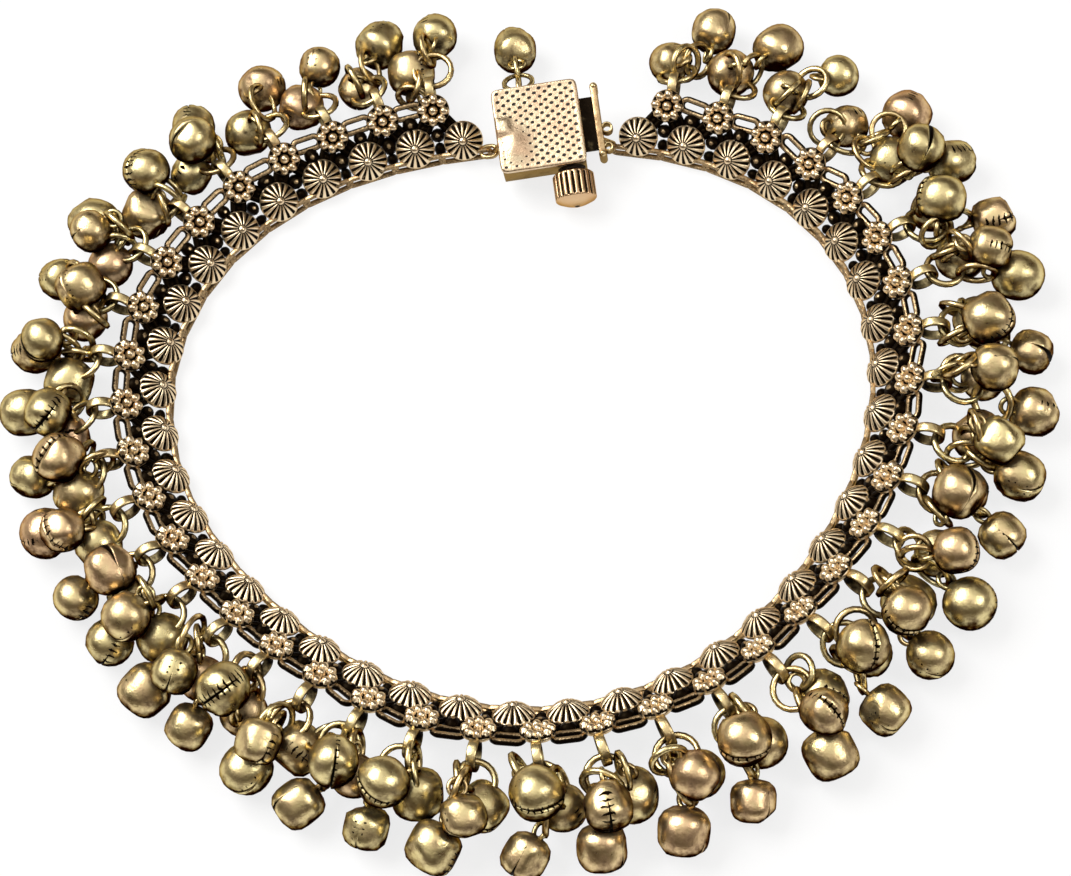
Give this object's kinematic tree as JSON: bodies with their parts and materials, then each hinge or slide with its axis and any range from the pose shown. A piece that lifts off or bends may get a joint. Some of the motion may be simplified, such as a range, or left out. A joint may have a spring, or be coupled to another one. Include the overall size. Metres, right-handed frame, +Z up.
{
  "type": "ghungroo anklet",
  "caption": "Closed anklet: a flexible band of fluted dome and flower studs with clusters of small hollow bells on jump rings, and a box clasp with a screw pin.",
  "frame": {"origin": "on the ground below the middle of the overall box, with the anklet lying flat and closed", "axes": "+Z up through the ring, +Y towards the clasp, +X along the ring's longest width"},
  "size_m": [0.128, 0.1186, 0.0108],
  "materials": {
    "stud_brass": "cast, darkened in the recesses, rubbed bright on top",
    "bell_brass": "satin, olive gold, worn",
    "copper_brass": "satin, rosy where the plating has worn",
    "gilt_brass": "gilt, pin-holed and worn",
    "dark_steel": "dark, oiled"
  },
  "bodies": {
    "root": {"clasp_case": "gilt_brass", "clasp_plate": "gilt_brass"},
    "band_section_01": {"band_section_01": "stud_brass"},
    "band_section_02": {"band_section_02": "stud_brass"},
    "band_section_03": {"band_section_03": "stud_brass"},
    "band_section_04": {"band_section_04": "stud_brass"},
    "band_section_05": {"band_section_05": "stud_brass"},
    "band_section_06": {"band_section_06": "stud_brass"},
    "band_section_07": {"band_section_07": "stud_brass"},
    "band_section_08": {"band_section_08": "stud_brass"},
    "band_section_09": {"band_section_09": "stud_brass"},
    "band_section_10": {"band_section_10": "stud_brass"},
    "bell_cluster_01": {"bell_cluster_01": "bell_brass"},
    "bell_cluster_02": {"bell_cluster_02": "bell_brass"},
    "bell_cluster_03": {"bell_cluster_03": "copper_brass"},
    "bell_cluster_04": {"bell_cluster_04": "bell_brass"},
    "bell_cluster_05": {"bell_cluster_05": "bell_brass"},
    "bell_cluster_06": {"bell_cluster_06": "bell_brass"},
    "bell_cluster_07": {"bell_cluster_07": "bell_brass"},
    "bell_cluster_08": {"bell_cluster_08": "copper_brass"},
    "bell_cluster_09": {"bell_cluster_09": "bell_brass"},
    "bell_cluster_10": {"bell_cluster_10": "bell_brass"},
    "bell_cluster_11": {"bell_cluster_11": "bell_brass"},
    "bell_cluster_12": {"bell_cluster_12": "bell_brass"},
    "bell_cluster_13": {"bell_cluster_13": "copper_brass"},
    "bell_cluster_14": {"bell_cluster_14": "bell_brass"},
    "bell_cluster_15": {"bell_cluster_15": "bell_brass"},
    "bell_cluster_16": {"bell_cluster_16": "bell_brass"},
    "bell_cluster_17": {"bell_cluster_17": "bell_brass"},
    "bell_cluster_18": {"bell_cluster_18": "copper_brass"},
    "bell_cluster_19": {"bell_cluster_19": "bell_brass"},
    "bell_cluster_20": {"bell_cluster_20": "bell_brass"},
    "bell_cluster_21": {"bell_cluster_21": "bell_brass"},
    "bell_cluster_22": {"bell_cluster_22": "bell_brass"},
    "bell_cluster_23": {"bell_cluster_23": "copper_brass"},
    "bell_cluster_24": {"bell_cluster_24": "bell_brass"},
    "bell_cluster_25": {"bell_cluster_25": "bell_brass"},
    "bell_cluster_26": {"bell_cluster_26": "bell_brass"},
    "bell_cluster_27": {"bell_cluster_27": "bell_brass"},
    "bell_cluster_28": {"bell_cluster_28": "copper_brass"},
    "bell_cluster_29": {"bell_cluster_29": "bell_brass"},
    "bell_cluster_30": {"bell_cluster_30": "bell_brass"},
    "bell_cluster_31": {"bell_cluster_31": "bell_brass"},
    "bell_cluster_32": {"bell_cluster_32": "bell_brass"},
    "bell_cluster_33": {"bell_cluster_33": "copper_brass"},
    "bell_cluster_34": {"bell_cluster_34": "bell_brass"},
    "bell_cluster_35": {"bell_cluster_35": "bell_brass"},
    "bell_cluster_36": {"bell_cluster_36": "bell_brass"},
    "bell_cluster_37": {"bell_cluster_37": "bell_brass"},
    "bell_cluster_38": {"bell_cluster_38": "copper_brass"},
    "bell_cluster_39": {"bell_cluster_39": "bell_brass"},
    "tongue": {"clasp_tongue": "gilt_brass"},
    "pin_washer": {"pin_washer": "dark_steel"},
    "screw_pin": {"screw_pin": "gilt_brass"},
    "clasp_ring_inner": {"clasp_ring_inner": "bell_brass"},
    "clasp_ring_outer": {"clasp_ring_outer": "bell_brass"},
    "clasp_bell": {"clasp_bell": "bell_brass"},
    "clasp_bell_pellet": {"clasp_bell_pellet": "dark_steel"}
  },
  "joints": [
    {"name": "band_hinge_01", "type": "hinge", "parent": "root", "child": "band_section_01", "pos_m": [-0.00776, 0.03813, 0], "axis": [0, 0, -1], "range_deg": [0, 4]},
    {"name": "band_hinge_02", "type": "hinge", "parent": "band_section_01", "child": "band_section_02", "pos_m": [-0.0303, 0.02996, 0], "axis": [0, 0, -1], "range_deg": [0, 4]},
    {"name": "band_hinge_03", "type": "hinge", "parent": "band_section_02", "child": "band_section_03", "pos_m": [-0.04313, 0.01055, 0], "axis": [0, 0, -1], "range_deg": [0, 4]},
    {"name": "band_hinge_04", "type": "hinge", "parent": "band_section_03", "child": "band_section_04", "pos_m": [-0.03866, -0.01242, 0], "axis": [0, 0, -1], "range_deg": [0, 4]},
    {"name": "band_hinge_05", "type": "hinge", "parent": "band_section_04", "child": "band_section_05", "pos_m": [-0.02191, -0.02963, 0], "axis": [0, 0, -1], "range_deg": [0, 4]},
    {"name": "band_hinge_06", "type": "hinge", "parent": "band_section_05", "child": "band_section_06", "pos_m": [0.00045, -0.03797, 0], "axis": [0, 0, -1], "range_deg": [0, 4]},
    {"name": "band_hinge_07", "type": "hinge", "parent": "band_section_06", "child": "band_section_07", "pos_m": [0.02308, -0.03169, 0], "axis": [0, 0, -1], "range_deg": [0, 4]},
    {"name": "band_hinge_08", "type": "hinge", "parent": "band_section_07", "child": "band_section_08", "pos_m": [0.03792, -0.01308, 0], "axis": [0, 0, -1], "range_deg": [0, 4]},
    {"name": "band_hinge_09", "type": "hinge", "parent": "band_section_08", "child": "band_section_09", "pos_m": [0.04148, 0.01044, 0], "axis": [0, 0, -1], "range_deg": [0, 4]},
    {"name": "band_hinge_10", "type": "hinge", "parent": "band_section_09", "child": "band_section_10", "pos_m": [0.03018, 0.03087, 0], "axis": [0, 0, -1], "range_deg": [0, 4]},
    {"name": "bell_swing_01", "type": "hinge", "parent": "band_section_01", "child": "bell_cluster_01", "pos_m": [-0.01563, 0.0451, 0.00528], "axis": [0.9739, 0.2268, 0], "range_deg": [-10, 40]},
    {"name": "bell_swing_02", "type": "hinge", "parent": "band_section_01", "child": "bell_cluster_02", "pos_m": [-0.02228, 0.04321, 0.00528], "axis": [0.9457, 0.325, 0], "range_deg": [-10, 40]},
    {"name": "bell_swing_03", "type": "hinge", "parent": "band_section_01", "child": "bell_cluster_03", "pos_m": [-0.02884, 0.04048, 0.00528], "axis": [0.8958, 0.4444, 0], "range_deg": [-10, 40]},
    {"name": "bell_swing_04", "type": "hinge", "parent": "band_section_01", "child": "bell_cluster_04", "pos_m": [-0.0351, 0.03676, 0.00528], "axis": [0.8167, 0.5771, 0], "range_deg": [-10, 40]},
    {"name": "bell_swing_05", "type": "hinge", "parent": "band_section_02", "child": "bell_cluster_05", "pos_m": [-0.04078, 0.03196, 0.00528], "axis": [0.7035, 0.7107, 0], "range_deg": [-10, 40]},
    {"name": "bell_swing_06", "type": "hinge", "parent": "band_section_02", "child": "bell_cluster_06", "pos_m": [-0.04556, 0.02612, 0.00528], "axis": [0.556, 0.8312, 0], "range_deg": [-10, 40]},
    {"name": "bell_swing_07", "type": "hinge", "parent": "band_section_02", "child": "bell_cluster_07", "pos_m": [-0.04914, 0.01941, 0.00528], "axis": [0.3798, 0.9251, 0], "range_deg": [-10, 40]},
    {"name": "bell_swing_08", "type": "hinge", "parent": "band_section_02", "child": "bell_cluster_08", "pos_m": [-0.05131, 0.01209, 0.00528], "axis": [0.1857, 0.9826, 0], "range_deg": [-10, 40]},
    {"name": "bell_swing_09", "type": "hinge", "parent": "band_section_03", "child": "bell_cluster_09", "pos_m": [-0.05197, 0.00452, 0.00528], "axis": [-0.012, 0.9999, 0], "range_deg": [-10, 40]},
    {"name": "bell_swing_10", "type": "hinge", "parent": "band_section_03", "child": "bell_cluster_10", "pos_m": [-0.05116, -0.00296, 0.00528], "axis": [-0.1995, 0.9799, 0], "range_deg": [-10, 40]},
    {"name": "bell_swing_11", "type": "hinge", "parent": "band_section_03", "child": "bell_cluster_11", "pos_m": [-0.04904, -0.01008, 0.00528], "axis": [-0.3661, 0.9306, 0], "range_deg": [-10, 40]},
    {"name": "bell_swing_12", "type": "hinge", "parent": "band_section_03", "child": "bell_cluster_12", "pos_m": [-0.04585, -0.01664, 0.00528], "axis": [-0.5059, 0.8626, 0], "range_deg": [-10, 40]},
    {"name": "bell_swing_13", "type": "hinge", "parent": "band_section_04", "child": "bell_cluster_13", "pos_m": [-0.04181, -0.02254, 0.00528], "axis": [-0.6177, 0.7865, 0], "range_deg": [-10, 40]},
    {"name": "bell_swing_14", "type": "hinge", "parent": "band_section_04", "child": "bell_cluster_14", "pos_m": [-0.03717, -0.02778, 0.00528], "axis": [-0.7042, 0.71, 0], "range_deg": [-10, 40]},
    {"name": "bell_swing_15", "type": "hinge", "parent": "band_section_04", "child": "bell_cluster_15", "pos_m": [-0.03206, -0.03243, 0.00528], "axis": [-0.7721, 0.6355, 0], "range_deg": [-10, 40]},
    {"name": "bell_swing_16", "type": "hinge", "parent": "band_section_04", "child": "bell_cluster_16", "pos_m": [-0.02656, -0.03653, 0.00528], "axis": [-0.8294, 0.5586, 0], "range_deg": [-10, 40]},
    {"name": "bell_swing_17", "type": "hinge", "parent": "band_section_05", "child": "bell_cluster_17", "pos_m": [-0.02063, -0.0401, 0.00528], "axis": [-0.8826, 0.4701, 0], "range_deg": [-10, 40]},
    {"name": "bell_swing_18", "type": "hinge", "parent": "band_section_05", "child": "bell_cluster_18", "pos_m": [-0.01423, -0.04304, 0.00528], "axis": [-0.9325, 0.3611, 0], "range_deg": [-10, 40]},
    {"name": "bell_swing_19", "type": "hinge", "parent": "band_section_05", "child": "bell_cluster_19", "pos_m": [-0.00737, -0.04517, 0.00528], "axis": [-0.9738, 0.2276, 0], "range_deg": [-10, 40]},
    {"name": "bell_swing_20", "type": "hinge", "parent": "band_section_05", "child": "bell_cluster_20", "pos_m": [-0.00015, -0.04628, 0.00528], "axis": [-0.9974, 0.0722, 0], "range_deg": [-10, 40]},
    {"name": "bell_swing_21", "type": "hinge", "parent": "band_section_06", "child": "bell_cluster_21", "pos_m": [0.00724, -0.04619, 0.00528], "axis": [-0.9953, -0.0971, 0], "range_deg": [-10, 40]},
    {"name": "bell_swing_22", "type": "hinge", "parent": "band_section_06", "child": "bell_cluster_22", "pos_m": [0.01454, -0.04483, 0.00528], "axis": [-0.9632, -0.2687, 0], "range_deg": [-10, 40]},
    {"name": "bell_swing_23", "type": "hinge", "parent": "band_section_06", "child": "bell_cluster_23", "pos_m": [0.02149, -0.04222, 0.00528], "axis": [-0.9026, -0.4305, 0], "range_deg": [-10, 40]},
    {"name": "bell_swing_24", "type": "hinge", "parent": "band_section_06", "child": "bell_cluster_24", "pos_m": [0.02785, -0.03851, 0.00528], "axis": [-0.8195, -0.5731, 0], "range_deg": [-10, 40]},
    {"name": "bell_swing_25", "type": "hinge", "parent": "band_section_07", "child": "bell_cluster_25", "pos_m": [0.03347, -0.03389, 0.00528], "axis": [-0.7223, -0.6916, 0], "range_deg": [-10, 40]},
    {"name": "bell_swing_26", "type": "hinge", "parent": "band_section_07", "child": "bell_cluster_26", "pos_m": [0.03829, -0.02856, 0.00528], "axis": [-0.6184, -0.7858, 0], "range_deg": [-10, 40]},
    {"name": "bell_swing_27", "type": "hinge", "parent": "band_section_07", "child": "bell_cluster_27", "pos_m": [0.04231, -0.02271, 0.00528], "axis": [-0.5119, -0.859, 0], "range_deg": [-10, 40]},
    {"name": "bell_swing_28", "type": "hinge", "parent": "band_section_07", "child": "bell_cluster_28", "pos_m": [0.04555, -0.01642, 0.00528], "axis": [-0.4022, -0.9155, 0], "range_deg": [-10, 40]},
    {"name": "bell_swing_29", "type": "hinge", "parent": "band_section_08", "child": "bell_cluster_29", "pos_m": [0.04799, -0.00979, 0.00528], "axis": [-0.2855, -0.9584, 0], "range_deg": [-10, 40]},
    {"name": "bell_swing_30", "type": "hinge", "parent": "band_section_08", "child": "bell_cluster_30", "pos_m": [0.04957, -0.00284, 0.00528], "axis": [-0.1569, -0.9876, 0], "range_deg": [-10, 40]},
    {"name": "bell_swing_31", "type": "hinge", "parent": "band_section_08", "child": "bell_cluster_31", "pos_m": [0.05019, 0.00434, 0.00528], "axis": [-0.0132, -0.9999, 0], "range_deg": [-10, 40]},
    {"name": "bell_swing_32", "type": "hinge", "parent": "band_section_08", "child": "bell_cluster_32", "pos_m": [0.04972, 0.01164, 0.00528], "axis": [0.145, -0.9894, 0], "range_deg": [-10, 40]},
    {"name": "bell_swing_33", "type": "hinge", "parent": "band_section_09", "child": "bell_cluster_33", "pos_m": [0.04802, 0.01886, 0.00528], "axis": [0.3127, -0.9499, 0], "range_deg": [-10, 40]},
    {"name": "bell_swing_34", "type": "hinge", "parent": "band_section_09", "child": "bell_cluster_34", "pos_m": [0.04504, 0.02574, 0.00528], "axis": [0.4808, -0.8768, 0], "range_deg": [-10, 40]},
    {"name": "bell_swing_35", "type": "hinge", "parent": "band_section_09", "child": "bell_cluster_35", "pos_m": [0.04081, 0.03197, 0.00528], "axis": [0.6377, -0.7703, 0], "range_deg": [-10, 40]},
    {"name": "bell_swing_36", "type": "hinge", "parent": "band_section_09", "child": "bell_cluster_36", "pos_m": [0.03547, 0.0373, 0.00528], "axis": [0.7717, -0.6359, 0], "range_deg": [-10, 40]},
    {"name": "bell_swing_37", "type": "hinge", "parent": "band_section_10", "child": "bell_cluster_37", "pos_m": [0.02927, 0.04151, 0.00528], "axis": [0.8748, -0.4845, 0], "range_deg": [-10, 40]},
    {"name": "bell_swing_38", "type": "hinge", "parent": "band_section_10", "child": "bell_cluster_38", "pos_m": [0.02252, 0.04452, 0.00528], "axis": [0.944, -0.3299, 0], "range_deg": [-10, 40]},
    {"name": "bell_swing_39", "type": "hinge", "parent": "band_section_10", "child": "bell_cluster_39", "pos_m": [0.01552, 0.04638, 0.00528], "axis": [0.9826, -0.1859, 0], "range_deg": [-10, 40]},
    {"name": "tongue_hinge", "type": "hinge", "parent": "root", "child": "tongue", "pos_m": [0.00234, 0.03928, 0.00513], "axis": [0.1952, -0.9412, -0.2756], "range_deg": [0, 8]},
    {"name": "pin_pull", "type": "slide", "parent": "root", "child": "pin_washer", "axis": [0.1952, -0.9412, -0.2756], "range_m": [0, 0.0125]},
    {"name": "pin_turn", "type": "hinge", "parent": "pin_washer", "child": "screw_pin", "pos_m": [0.00234, 0.03928, 0.00513], "axis": [0.1952, -0.9412, -0.2756], "continuous": true},
    {"name": "clasp_ring_swing", "type": "hinge", "parent": "root", "child": "clasp_ring_inner", "pos_m": [-0.0039, 0.04378, 0.00676], "axis": [0.9792, 0.203, 0], "range_deg": [-10, 50]},
    {"name": "clasp_chain_bend", "type": "hinge", "parent": "clasp_ring_inner", "child": "clasp_ring_outer", "pos_m": [-0.00439, 0.04616, 0.00572], "axis": [0.9792, 0.203, 0], "range_deg": [-15, 30]},
    {"name": "clasp_bell_swing", "type": "hinge", "parent": "clasp_ring_outer", "child": "clasp_bell", "pos_m": [-0.00489, 0.04853, 0.00469], "axis": [-0.0797, 0.3843, 0.9198], "range_deg": [-12, 12]},
    {"name": "pellet_rattle", "type": "slide", "parent": "clasp_bell", "child": "clasp_bell_pellet", "axis": [0, 0, 1], "range_m": [0, 0.0015]}
  ]
}
